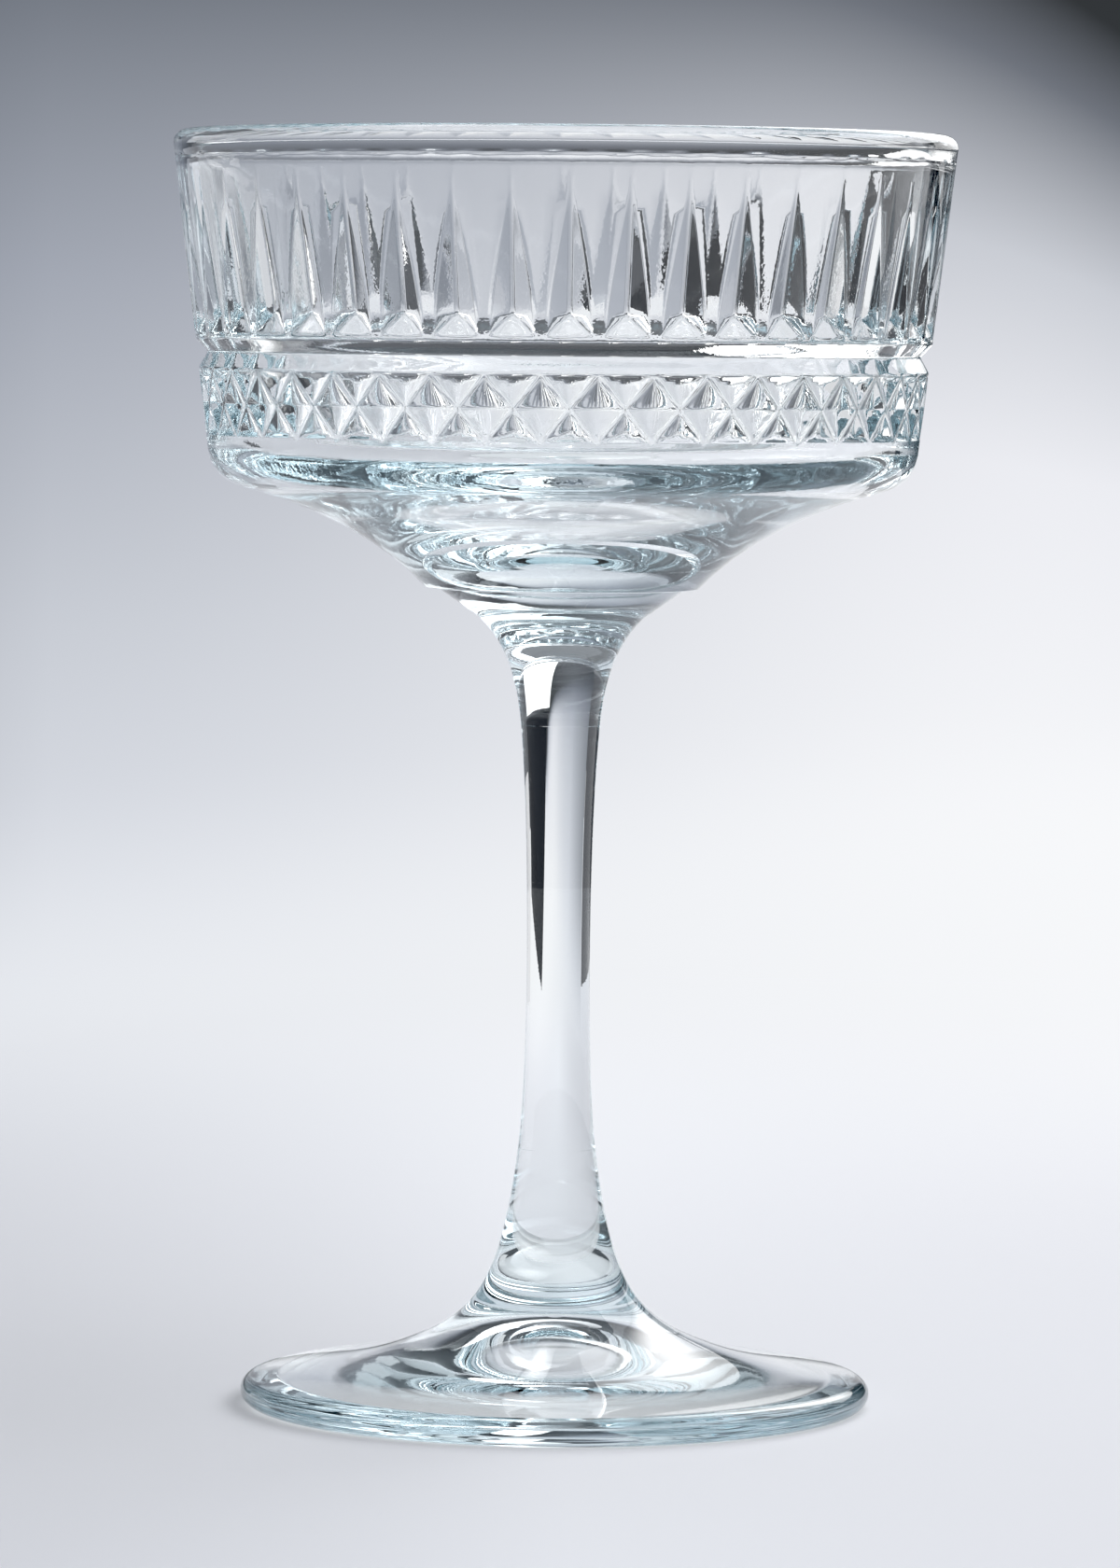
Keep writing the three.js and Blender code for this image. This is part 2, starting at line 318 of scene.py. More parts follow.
BAND_HALF = BAND_TOP - BAND_MIDDLE
BAND_PITCH = half_pitch(BAND_MIDDLE)
RIB_LENGTH = math.hypot(BAND_PITCH, BAND_HALF)
RIB_ACROSS = RIB_WIDTH / 2 * RIB_LENGTH / BAND_HALF
RIB_UP = RIB_WIDTH / 2 * RIB_LENGTH / BAND_PITCH
FLUTE_HALF = half_pitch(FLUTE_FOOT) - FLUTE_GAP / 2


def flute_half(height):
    """Half the width of a flute: it narrows upwards along a slightly bowed edge, and is less than nothing
    over the tip."""
    rise = (height - FLUTE_FOOT) / (FLUTE_TIP - FLUTE_FOOT)
    return FLUTE_HALF * (1 - (1 - FLUTE_BOW) * rise - FLUTE_BOW * rise**2)


def flute_valley(height):
    """Depth of a flute along its middle, for a V with a rounded valley that is as wide as the flute."""
    half = flute_half(height)
    return np.sign(half) * FLUTE_SLOPE * (soft_size(half, FLUTE_ROUND) - FLUTE_ROUND)


FLUTE_END_SLOPE = flute_valley(FLUTE_DEEPEST) / (FLUTE_DEEPEST - FLUTE_FOOT)


def flute_depth(across, height):
    """A flute is a V with a rounded valley, sunk less and less towards its tip, and closed at its foot by
    one short facet that falls upwards. The depth is the least of them."""
    flank = flute_valley(height) - FLUTE_SLOPE * (soft_size(across, FLUTE_ROUND) - FLUTE_ROUND)
    end = FLUTE_END_SLOPE * (height - FLUTE_FOOT)
    return soft_above(soft_least(flank, end, FLUTE_FOLD), FLUTE_EDGE)


def diamond_depth(across, height):
    """A diamond is a sunk four-sided pyramid between two crossings of the ribs: its depth falls evenly
    with the distance from its middle, sideways and upwards."""
    side = soft_size(half_pitch(height) - across, DIAMOND_FOLD) / (BAND_PITCH - RIB_ACROSS)
    up = soft_size(height - BAND_MIDDLE, DIAMOND_FOLD) / (BAND_HALF - RIB_UP)
    return soft_above(DIAMOND_DEPTH * (1 - side - up), RIB_EDGE)


def triangle_depth(across, height):
    """A triangle over and under each crossing is sunk under two flanks that rise from the ribs and a
    steep end wall at the edge of the band. The depth is the least of them."""
    up = np.abs(height - BAND_MIDDLE)
    side = soft_size(across, TRIANGLE_VALLEY) / (BAND_PITCH - RIB_ACROSS)
    flank = (up - RIB_UP) - (BAND_HALF - RIB_UP) * side
    flank = flank * TRIANGLE_DEPTH / (BAND_HALF - TRIANGLE_END_RUN - RIB_UP)
    end = TRIANGLE_DEPTH * (BAND_HALF - up) / TRIANGLE_END_RUN
    return soft_above(soft_least(flank, end, TRIANGLE_FOLD), RIB_EDGE)


def groove_depth(height):
    """The waist groove is a V with a rounded valley, steeper above than below."""
    lower = GROOVE_DEPTH * (height - GROOVE_BOTTOM) / (GROOVE_VALLEY - GROOVE_BOTTOM)
    upper = GROOVE_DEPTH * (GROOVE_TOP - height) / (GROOVE_TOP - GROOVE_VALLEY)
    return soft_above(soft_least(lower, upper, GROOVE_FOLD), GROOVE_EDGE)


def waver(turn, waves):
    """A sum of sine waves round the wall, each given as (size, waves in a turn, phase)."""
    return sum(size * np.sin(count * turn + phase) for size, count, phase in waves)


def lip_flare(turn, height):
    """Over the mould's ring seam the wall steps back a little and then flares to the lip. The step is a
    smooth fall whose height and depth waver round the wall, and the flare is a straight slope."""
    over = height - SEAM_HEIGHT
    step = 0.5 + 0.5 * np.tanh((over - waver(turn, SEAM_HEIGHT_WAVES)) / SEAM_FALL)
    deep = SEAM_STEP * (1 + waver(turn, SEAM_DEPTH_WAVES))
    ease = np.clip(over / SEAM_EASE - 1, 0, 1)
    rise = (LIP_RADIUS - wall_radius(LIP_EDGE) + SEAM_STEP) / (LIP_EDGE - SEAM_HEIGHT)
    return rise * soft_above(over, SEAM_EDGE) - (deep + (SEAM_STEP - deep) * ease) * step


def outer_radius(turn, height):
    """Radius of the finished outer wall: the plain cone less the cuts, plus the lip's flare. The turn is in
    radians from the middle of the front flute."""
    repeat = 2 * math.pi / REPEATS
    local = np.mod(turn + repeat / 2, repeat) - repeat / 2
    across = np.abs(local) * wall_radius(height)
    cut = flute_depth(across, height) + diamond_depth(across, height) + triangle_depth(across, height)
    return wall_radius(height) - cut - groove_depth(height) + lip_flare(turn, height)


def wall_rows():
    """Heights of the wall's rows: close together at the ends of the cuts, wide on plain wall."""
    foot = np.r_[WALL_FOOT + 0.5, WALL_FOOT + 1.2, BAND_BOTTOM - 0.1]
    half = np.r_[0, 0.08, 0.2, 0.35, 0.5, 0.65, 0.8, 1.0, 1.4, 1.9, 2.4, 2.8, 3.1, 3.35, 3.55, 3.75, 3.85]
    band = np.r_[BAND_BOTTOM + half[:-1], np.flip(BAND_TOP - half)]
    groove = np.r_[
        GROOVE_BOTTOM + np.r_[-0.12, 0, 0.12, 0.9],
        GROOVE_VALLEY + np.r_[-0.2, -0.08, 0, 0.08, 0.2],
        GROOVE_TOP + np.r_[-0.75, -0.15, 0, 0.15, 0.45],
    ]
    end = FLUTE_FOOT + np.r_[-0.1, 0, 0.1, 0.3, 0.55, 0.8, 1.05, 1.3, 1.55, 1.8, 2.0, 2.2, 2.4, 2.6]
    flank = np.linspace(FLUTE_DEEPEST + 0.6, FLUTE_TIP + 0.4, 17)
    collar = np.r_[FLUTE_TIP + 1.1, FLUTE_TIP + 1.9, SEAM_HEIGHT + np.linspace(-0.6, 0.5, 11)]
    return np.r_[foot, band, groove, end, flank, collar]


def wall_columns(height):
    """Where a row's columns stand in half a repeat, from the middle of a flute to the middle of a land, as
    shares of the half pitch. In the band they keep beside the ribs' edges, in the flutes beside the edges
    of the end facet and the flanks, and elsewhere they are even."""
    height = height[:, None]
    pitch = half_pitch(height)
    beside = 0.1
    least = 0.3
    up = np.abs(height - BAND_MIDDLE) * BAND_PITCH / BAND_HALF
    outer = np.minimum(up + RIB_ACROSS, pitch - least)
    inner = np.minimum(np.maximum(up - RIB_ACROSS, 2 * beside), outer - least)
    band = np.concatenate([
        0 * pitch, inner / 2, inner - beside, inner + beside,
        outer - beside, outer + beside, (outer + pitch) / 2, pitch,
    ], 1)
    edge = np.clip(flute_half(height), 0.0, FLUTE_HALF)
    end = soft_size(edge, FLUTE_ROUND) - FLUTE_END_SLOPE * np.maximum(height - FLUTE_FOOT, 0) / FLUTE_SLOPE
    end = np.sqrt(np.maximum(end**2 - FLUTE_ROUND**2, 0)) * (end > 0)
    end = np.clip(end, least, np.maximum(edge - least, least))
    edge = np.maximum(edge, end + least)
    flute = np.concatenate([
        0 * pitch, end / 2, end - beside, end + beside,
        edge - beside, edge + beside, (edge + pitch) / 2, pitch,
    ], 1)
    even = np.linspace(0, 1, 8) + 0 * pitch
    in_band = (height > BAND_BOTTOM - 0.05) & (height < BAND_TOP + 0.05)
    gathered = np.clip((height - FLUTE_FOOT + 0.4) / 0.3, 0, 1)
    in_flute = gathered * np.clip((FLUTE_TIP + 2.5 - height) / 2.2, 0, 1)
    return np.where(in_band, band / pitch, even + (flute / pitch - even) * in_flute)


def bowl_turns(shares):
    """Turns of all columns of each row: half a repeat mirrored, then repeated round from the front."""
    mirrored = np.concatenate([-shares[:, :0:-1], shares[:, :-1]], 1)
    middle = np.arange(REPEATS)[None, :, None] * 2
    turns = (middle + mirrored[:, None, :]) * math.pi / REPEATS
    return turns.reshape(len(shares), -1)


def bowl_wall():
    """The cut wall, row by row: a point is (radius cos turn, radius sin turn, height), where the radius is
    that of the finished wall, and its normal follows from how the radius changes round and up the wall."""
    heights = wall_rows()
    turn = bowl_turns(wall_columns(heights))
    level = heights[:, None]
    radius = outer_radius(turn, level)
    onward = outer_radius(turn + SLOPE_TURN, level) - outer_radius(turn - SLOPE_TURN, level)
    upward = outer_radius(turn, level + SLOPE_STEP) - outer_radius(turn, level - SLOPE_STEP)
    lean = onward / (2 * SLOPE_TURN) / radius
    slope = upward / (2 * SLOPE_STEP)
    size = np.sqrt(1 + lean**2 + slope**2)
    cos = np.cos(turn - math.pi / 2)
    sin = np.sin(turn - math.pi / 2)
    places = np.stack([radius * cos, radius * sin, np.broadcast_to(level, radius.shape)], 2)
    normals = np.stack([(cos + lean * sin) / size, (sin - lean * cos) / size, -slope / size], 2)
    return places, normals


def bowl_grid():
    """Rows of the bowl from the fused face under it, out along the ledge, the trumpet-shaped underside and
    the shoulder, up the cut wall, over the rolled lip, and down the bore to the middle of the floor."""
    shoulder = (wall_radius(WALL_FOOT), WALL_FOOT)
    trumpet = (shoulder[0] - SHOULDER_WIDTH, TRUMPET_HEIGHT)
    ledge = (LEDGE_RADIUS, LEDGE_CHAMFER)
    under = fire_polished([
        corners((BOSS_RADIUS, 0), (LEDGE_RADIUS - LEDGE_CHAMFER, 0), ledge),
        sweep(ledge, trumpet, TRUMPET_FOOT_TILT, TRUMPET_TOP_TILT, TRUMPET_SHARES),
        sweep(trumpet, shoulder, TRUMPET_TOP_TILT, 90 - WALL_DRAFT, CORNER_SHARES),
    ], *UNDER_POLISH)
    wall, wall_normals = bowl_wall()
    inside = wall_radius(LIP_FOOT) - RIM_THICKNESS
    bore = (inside - math.tan(math.radians(BORE_DRAFT)) * (LIP_FOOT - BORE_FOOT), BORE_FOOT)
    floor = (bore[0] - BORE_CORNER_WIDTH, FLOOR_EDGE_HEIGHT)
    lip_start = wall_radius(RIM_START) + lip_flare(0, RIM_START)
    outer_round = (LIP_RADIUS - LIP_OUTER_ROUND, BOWL_HEIGHT - LIP_OUTER_ROUND)
    inner_round = (inside + LIP_INNER_ROUND, BOWL_HEIGHT - LIP_INNER_ROUND)
    rim = fire_polished([
        corners((lip_start, RIM_START), (LIP_RADIUS, LIP_EDGE)),
        arc(outer_round, LIP_OUTER_ROUND, LIP_OUTER_START, 90),
        arc(inner_round, LIP_INNER_ROUND, 90, 180),
        corners((inside, LIP_FOOT), bore),
        sweep(bore, floor, 270 - BORE_DRAFT, 180 + FLOOR_TILT, CORNER_SHARES),
        sweep(floor, (FLOOR_RADIUS, FLOOR_THICKNESS), 180 + FLOOR_TILT, 180, FLOOR_SHARES),
        corners((FLOOR_MIDDLE, FLOOR_THICKNESS)),
    ], *RIM_POLISH)
    columns = wall.shape[1]
    even = np.arange(columns) * 2 * math.pi / columns - math.pi / 2 - math.pi / REPEATS
    below, below_normals = turned(*under, even)
    above, above_normals = turned(*rim, even)
    places = np.concatenate([below, wall, above])
    normals = np.concatenate([below_normals, wall_normals, above_normals])
    return places + [0, 0, LEDGE], normals


# Boss, stem and foot

ROUND = np.arange(COLUMNS) * 2 * math.pi / COLUMNS


def boss_grid():
    """The boss from its neck up: a hollow sweep out of the stem, a soft corner and a short cone."""
    neck = (STEM_BOSS_RADIUS, STEM_TOP)
    outline = fire_polished([
        sweep(neck, BOSS_CORNER, 90 - STEM_BOSS_TAPER, 90 - BOSS_NECK_FLARE, NECK_SHARES),
        corners((BOSS_RADIUS, LEDGE)),
    ], *BOSS_POLISH)
    return turned(*outline, ROUND)


def stem_grid():
    """The stem from foot to boss: a drawn rod with a gentle waist, in two sweeps."""
    foot = (STEM_FOOT_RADIUS, FOOT_TOP)
    neck = (STEM_BOSS_RADIUS, STEM_TOP)
    outline = fire_polished([
        sweep(foot, STEM_WAIST, 90 + STEM_FOOT_TAPER, 90, STEM_LOWER_SHARES),
        sweep(STEM_WAIST, neck, 90, 90 - STEM_BOSS_TAPER, STEM_UPPER_SHARES),
    ], *STEM_POLISH)
    return turned(*outline, ROUND)


def foot_grid():
    """The foot from the middle of its hollow underside: out to the resting ring, round the edge, up the
    shallow cone and the flare to the stem. The hollow is a shallow bowl, whose height falls with the square
    of the radius, with a bell-shaped dome over its middle."""
    ring = FOOT_RADIUS - FOOT_EDGE
    inner = ring - REST_RING_WIDTH
    t = np.linspace(0.02, 1, ARC_POINTS)[:, None]
    dome = DOME_RISE * np.exp(-((inner * t / DOME_REACH) ** 2))
    hollow = np.concatenate([inner * t, HOLLOW_RISE * (1 - t**2) + dome], 1)
    edge = arc((ring, FOOT_EDGE), FOOT_EDGE, -90, 90 - FOOT_EDGE_TILT)
    top = (STEM_FOOT_RADIUS, FOOT_TOP)
    outline = fire_polished([
        hollow,
        edge,
        sweep(edge[-1], FLARE_FOOT, 180 - FOOT_EDGE_TILT, 180 - FLARE_TILT, CONE_SHARES),
        sweep(FLARE_FOOT, top, 180 - FLARE_TILT, 90 + STEM_FOOT_TAPER, FLARE_SHARES),
    ], *FOOT_POLISH)
    return turned(*outline, ROUND)


# Materials

SMOOTH = {"interpolation_type": "SMOOTHSTEP"}
TIMES = {"operation": "MULTIPLY"}
TIMES_AND_ADD = {"operation": "MULTIPLY_ADD"}


def linear(colour):
    """An sRGB hex colour as linear red, green, blue and alpha."""
    parts = [int(colour[k:k + 2], 16) / 255 for k in (1, 3, 5)]
    return [p / 12.92 if p <= 0.04045 else ((p + 0.055) / 1.055) ** 2.4 for p in parts] + [1.0]


def add_node(tree, kind, settings=None, stops=(), **inputs):
    """Adds a node of a kind with its settings, and for a colour ramp its stops, as (level, sRGB colour). An
    input gets a value, a link from an output, or a link from another node's first output. Its name is
    written with _ for a space, or as in1 for the input at place 1."""
    made = tree.nodes.new(kind)
    for name, value in (settings or {}).items():
        setattr(made, name, value)
    for index, (level, colour) in enumerate(stops):
        points = made.color_ramp.elements
        point = points[index] if index < 2 else points.new(level)
        point.position = level
        point.color = linear(colour)
    for name, value in inputs.items():
        placed = name.startswith("in") and name[2:].isdigit()
        socket = made.inputs[int(name[2:]) if placed else name.replace("_", " ")]
        if isinstance(value, bpy.types.Node):
            value = value.outputs[0]
        if isinstance(value, bpy.types.NodeSocket):
            tree.links.new(value, socket)
        else:
            socket.default_value = value
    return made


def new_material(name):
    """A material with no nodes yet, and its node tree."""
    material = bpy.data.materials.new(name)
    material.use_nodes = True
    material.node_tree.nodes.clear()
    return material, material.node_tree


def per_metre(millimetres):
    """Texture scale for a pattern whose features are this far apart."""
    return 1000 / millimetres


# Faint blue-green of iron in soda-lime glass: about what 1 / TINT_DENSITY metres of it leave of white light
TINT = linear("#f3fafc")
TINT_DENSITY = 36.0
GLASS_IOR = 1.52

# Surface of the pressed glass in millimetres: how far apart its waves, peel and grain are, and how high
WAVE_SPACING = 9
WAVE_HEIGHT = 0.004
PEEL_SPACING = 0.7
PEEL_HEIGHT = 0.0016
GRAIN_SPACING = 0.4
GRAIN_HEIGHT = 0.003
GRAIN_FOOT = LEDGE + WALL_FOOT - 2
GRAIN_FULL = LEDGE + WALL_FOOT + 1
GRAIN_FADES = LEDGE + FLUTE_DEEPEST
GRAIN_TOP = LEDGE + FLUTE_TIP


def pressed_soda_lime():
    """Soda-lime glass pressed in a mould and fire-polished: clear and sharp, with a slow waviness from the
    plunger, fine orange peel, and a grain where the cold mould chilled the cuts, which make reflections and
    dark edges waver and break up. On a fused face the light passes straight on."""
    material, tree = new_material("pressed_soda_lime_glass")
    place = add_node(tree, "ShaderNodeTexCoord").outputs["Object"]
    height = add_node(tree, "ShaderNodeSeparateXYZ", Vector=place).outputs["Z"]
    wave = add_node(tree, "ShaderNodeTexNoise", Vector=place, Scale=per_metre(WAVE_SPACING), Detail=1.0)
    peel = add_node(tree, "ShaderNodeTexNoise", Vector=place, Scale=per_metre(PEEL_SPACING), Detail=2.0)
    grain = add_node(tree, "ShaderNodeTexNoise", Vector=place, Scale=per_metre(GRAIN_SPACING), Detail=1.0)
    over = add_node(
        tree, "ShaderNodeMapRange", SMOOTH, Value=height, From_Min=GRAIN_FOOT * MM, From_Max=GRAIN_FULL * MM,
    )
    past = add_node(
        tree, "ShaderNodeMapRange", SMOOTH, Value=height, From_Min=GRAIN_FADES * MM, From_Max=GRAIN_TOP * MM,
    )
    cut = add_node(tree, "ShaderNodeMath", {"operation": "SUBTRACT"}, in0=over, in1=past)
    chill = add_node(tree, "ShaderNodeMath", TIMES, in0=grain, in1=cut)
    slow = add_node(tree, "ShaderNodeBump", Strength=1.0, Distance=WAVE_HEIGHT * MM, Height=wave)
    fine = add_node(
        tree, "ShaderNodeBump", Strength=1.0, Distance=PEEL_HEIGHT * MM, Height=peel, Normal=slow,
    )
    cold = add_node(
        tree, "ShaderNodeBump", Strength=1.0, Distance=GRAIN_HEIGHT * MM, Height=chill, Normal=fine,
    )
    fused = add_node(tree, "ShaderNodeAttribute", {"attribute_name": "fused"}).outputs["Fac"]
    bending = add_node(tree, "ShaderNodeMath", TIMES_AND_ADD, in0=fused, in1=1 - GLASS_IOR, in2=GLASS_IOR)
    body = add_node(
        tree, "ShaderNodeBsdfPrincipled", Base_Color=linear("#ffffff"), Roughness=0.0, IOR=bending,
        Transmission_Weight=1.0, Normal=cold,
    )
    tint = add_node(tree, "ShaderNodeVolumeAbsorption", Color=TINT, Density=TINT_DENSITY)
    add_node(tree, "ShaderNodeOutputMaterial", Surface=body, Volume=tint)
    return material


glass = pressed_soda_lime()

places, normals = bowl_grid()
places[0, :, 2] += HAIR
make_piece("glass_bowl", places, normals, (LEDGE + HAIR, 1), (LEDGE + FLOOR_THICKNESS, 0), glass, "bowl")
places, normals = boss_grid()
make_piece("glass_boss", places, normals, (STEM_TOP, 1), (LEDGE, 1), glass, "boss")
places, normals = stem_grid()
places[0, :, 2] += HAIR
places[-1, :, 2] -= HAIR
make_piece("glass_stem", places, normals, (FOOT_TOP + HAIR, 1), (STEM_TOP - HAIR, 1), glass, "stem")
places, normals = foot_grid()
make_piece("glass_foot", places, normals, (HOLLOW_RISE + DOME_RISE, 0), (FOOT_TOP, 1), glass, "foot")


# Stage in metres: a pale floor, a backdrop that stands at a slant behind the glass, and lamps and cards

BACKDROP_LEFT = (-0.19, 0.29)
BACKDROP_RIGHT = (0.33, 1.14)
BACKDROP_END = (0.64, 1.647)
BACKDROP_HEIGHT = 0.5
BACKDROP_FOOT_FADE = 0.05

# Painted shading of the backdrop, as paper lit from the right: the height of its painted dark edge, how far
# it droops to the right, and its painted colours from the foot up, whose level is EDGE_LEVEL at the dark
# edge. Places along it go from 0 at the left to 1.
EDGE_HEIGHT = 0.213
EDGE_DROOP = -0.123
EDGE_LEVEL = 0.8
DROOP_START = 0.45
DROOP_END = 1.05
LEFT_END = 0.14
RIGHT_START = 0.62
FADE_END = 0.2
LEFT_PAINTED_SHADING = (
    (0.0, "#e4e7ee"), (0.28, "#c9cdd5"), (0.52, "#a5aab5"), (0.72, "#7b8089"), (0.9, "#66696e"),
)
RIGHT_PAINTED_SHADING = (
    (0.0, "#f8f9fb"), (0.40, "#edeef3"), (0.59, "#cdd0d7"), (0.76, "#787c84"), (0.85, "#494b4d"),
)
# Painted shade that darkens the left end of the backdrop
LEFT_END_PAINTED_SHADE = ((0.0, "#b4b6b8"), (1.0, "#ffffff"))

# Floor: its size, its paper colour with painted shade from left to right near the glass, its painted glow
# far off, and where they change over; the faint painted glow on the paper near the glass, and the edge of
# the painted light under the foot
FLOOR_REACH = 4.0
FLOOR_CORNERS = 96
FLOOR_DROP = 0.00005
NEAR_ACROSS = (-0.12, 0.12)
# Paper colour with painted shade: darker to the left, where less lamp light falls
NEAR_PAPER_AND_PAINTED_SHADE = ((0.0, "#c4c5c9"), (0.5, "#dadbde"), (1.0, "#d3d3d6"))
FAR_ACROSS = (-0.3, 0.2)
# Painted light: far off, the floor glows with these colours, whiter on the right
FAR_PAINTED_LIGHT = ((0.0, "#dde1e8"), (1.0, "#f8f9fb"))
FAR_AWAY = (0.15, 0.6)
# Painted light: a faint glow added to the lit paper near the glass
PAINTED_FILL_STRENGTH = 0.14
# Edge of the painted pool of light under the foot
UNDER_FOOT_PAINTED_LIGHT = (0.035, 0.039)

# Lamps and cards: the height they are placed round, and how far a lamp's bright middle reaches
EYE_HEIGHT = 0.065
LAMP_REACH = 0.26
EVEN = (1, 1)
UNLIT = ("diffuse", "shadow")
THROUGH = ("diffuse", "shadow", "glossy")

# Room: colours by how steeply a ray rises, and more light from the right than from the left high up
AIR_RISE = (0.30, 0.60)
AIR_COLOURS = ((0.0, "#56585c"), (0.45, "#56585c"), (0.62, "#dcdfe4"), (1.0, "#eceef2"))
SIDE_ACROSS = (-0.5, 0.5)
SIDE_CHANGE = (-0.8, 1.5)
SIDE_RISE = (0.42, 0.5)


def stage_object(name, points, faces, material):
    """A part of the stage from points in metres and faces."""
    mesh = bpy.data.meshes.new(name)
    mesh.from_pydata([tuple(map(float, p)) for p in points], [], faces)
    mesh.materials.append(material)
    made = bpy.data.objects.new(name, mesh)
    bpy.context.collection.objects.link(made)
    return made


def backdrop_paper():
    """Paper with painted light and shade, as if lit from the right: white at its foot, grey above, lighter
    on the right, darker at its left end, with a dark upper right corner. It glows with these colours, thins
    out into the floor at its foot and isn't seen from behind."""
    material, tree = new_material("matt_backdrop_paper")
    place = add_node(tree, "ShaderNodeTexCoord").outputs["Object"]
    split = add_node(tree, "ShaderNodeSeparateXYZ", Vector=place)
    across = split.outputs["X"]
    height = split.outputs["Z"]
    along = add_node(
        tree, "ShaderNodeMapRange", Value=across, From_Min=BACKDROP_LEFT[0], From_Max=BACKDROP_RIGHT[0],
    )
    droop = add_node(
        tree, "ShaderNodeMapRange", SMOOTH, Value=along, From_Min=DROOP_START, From_Max=DROOP_END,
    )
    edge = add_node(tree, "ShaderNodeMath", TIMES_AND_ADD, in0=droop, in1=EDGE_DROOP, in2=EDGE_HEIGHT)
    rise = add_node(tree, "ShaderNodeMath", {"operation": "DIVIDE"}, in0=height, in1=edge)
    level = add_node(tree, "ShaderNodeMath", TIMES, in0=rise, in1=EDGE_LEVEL)
    # Painted shading by height, for the left and the right of the backdrop
    left = add_node(tree, "ShaderNodeValToRGB", stops=LEFT_PAINTED_SHADING, Fac=level)
    right = add_node(tree, "ShaderNodeValToRGB", stops=RIGHT_PAINTED_SHADING, Fac=level)
    turn = add_node(tree, "ShaderNodeMapRange", SMOOTH, Value=along, From_Min=LEFT_END, From_Max=RIGHT_START)
    shade = add_node(tree, "ShaderNodeMix", {"data_type": "RGBA"}, Factor=turn, A=left, B=right)
    start = add_node(tree, "ShaderNodeMapRange", Value=along, From_Min=0.0, From_Max=FADE_END)
    # Painted shade at the left end
    fade = add_node(tree, "ShaderNodeValToRGB", stops=LEFT_END_PAINTED_SHADE, Fac=start)
    faded = add_node(
        tree, "ShaderNodeMix", {"data_type": "RGBA", "blend_type": "MULTIPLY"},
        Factor=1.0, A=shade.outputs["Result"], B=fade,
    )
    # The painted light and shade glow: no lamp lights the backdrop
    glow = add_node(tree, "ShaderNodeEmission", Color=faded.outputs["Result"], Strength=1.0)
    clear = add_node(tree, "ShaderNodeBsdfTransparent", Color=linear("#ffffff"))
    thick = add_node(
        tree, "ShaderNodeMapRange", SMOOTH, Value=height, From_Min=0.0, From_Max=BACKDROP_FOOT_FADE,
    )
    foot = add_node(tree, "ShaderNodeMixShader", Fac=thick, in1=clear, in2=glow)
    behind = add_node(tree, "ShaderNodeNewGeometry").outputs["Backfacing"]
    seen = add_node(tree, "ShaderNodeMixShader", Fac=behind, in1=foot, in2=clear)
    add_node(tree, "ShaderNodeOutputMaterial", Surface=seen)
    return material


def floor_paper():
    """Matt white paper that takes the lamps' light and the glass's shadow, with painted shade that darkens
    it towards the left and a faint painted glow added. Away from the glass its light is painted as an even
    pale glow, whiter on the right, and under the foot a painted pool of light stands for the light that the
    glass passes on."""
    material, tree = new_material("matt_floor_paper")
    place = add_node(tree, "ShaderNodeTexCoord").outputs["Object"]
    away = add_node(tree, "ShaderNodeVectorMath", {"operation": "LENGTH"}, in0=place).outputs["Value"]
    across = add_node(tree, "ShaderNodeSeparateXYZ", Vector=place).outputs["X"]
    shares = {}
    for name, value, (low, high) in (
        ("near", across, NEAR_ACROSS), ("far", across, FAR_ACROSS),
        ("off", away, FAR_AWAY), ("out", away, UNDER_FOOT_PAINTED_LIGHT),
    ):
        shares[name] = add_node(
            tree, "ShaderNodeMapRange", SMOOTH, Value=value, From_Min=low, From_Max=high,
        )
    # Paper colour with painted shade towards the left
    paper = add_node(tree, "ShaderNodeValToRGB", stops=NEAR_PAPER_AND_PAINTED_SHADE, Fac=shares["near"])
    pale = add_node(tree, "ShaderNodeValToRGB", stops=FAR_PAINTED_LIGHT, Fac=shares["far"])
    matt = add_node(tree, "ShaderNodeBsdfDiffuse", Color=paper)
    # Painted fill light: the paper near the glass glows faintly
    painted_fill = add_node(tree, "ShaderNodeEmission", Color=linear("#eceef2"), Strength=PAINTED_FILL_STRENGTH)
    lit = add_node(tree, "ShaderNodeAddShader", in0=matt, in1=painted_fill)
    # Painted light: far off, the floor glows instead of being lit
    glow = add_node(tree, "ShaderNodeEmission", Color=pale, Strength=1.0)
    seen = add_node(tree, "ShaderNodeMixShader", Fac=shares["off"], in1=lit, in2=glow)
    # Painted pool of light under the foot, for the light that the glass passes on
    painted_light_under_foot = add_node(tree, "ShaderNodeEmission", Color=linear("#e6eaee"), Strength=1.0)
    under = add_node(tree, "ShaderNodeMixShader", Fac=shares["out"], in1=painted_light_under_foot, in2=seen)
    add_node(tree, "ShaderNodeOutputMaterial", Surface=under)
    return material


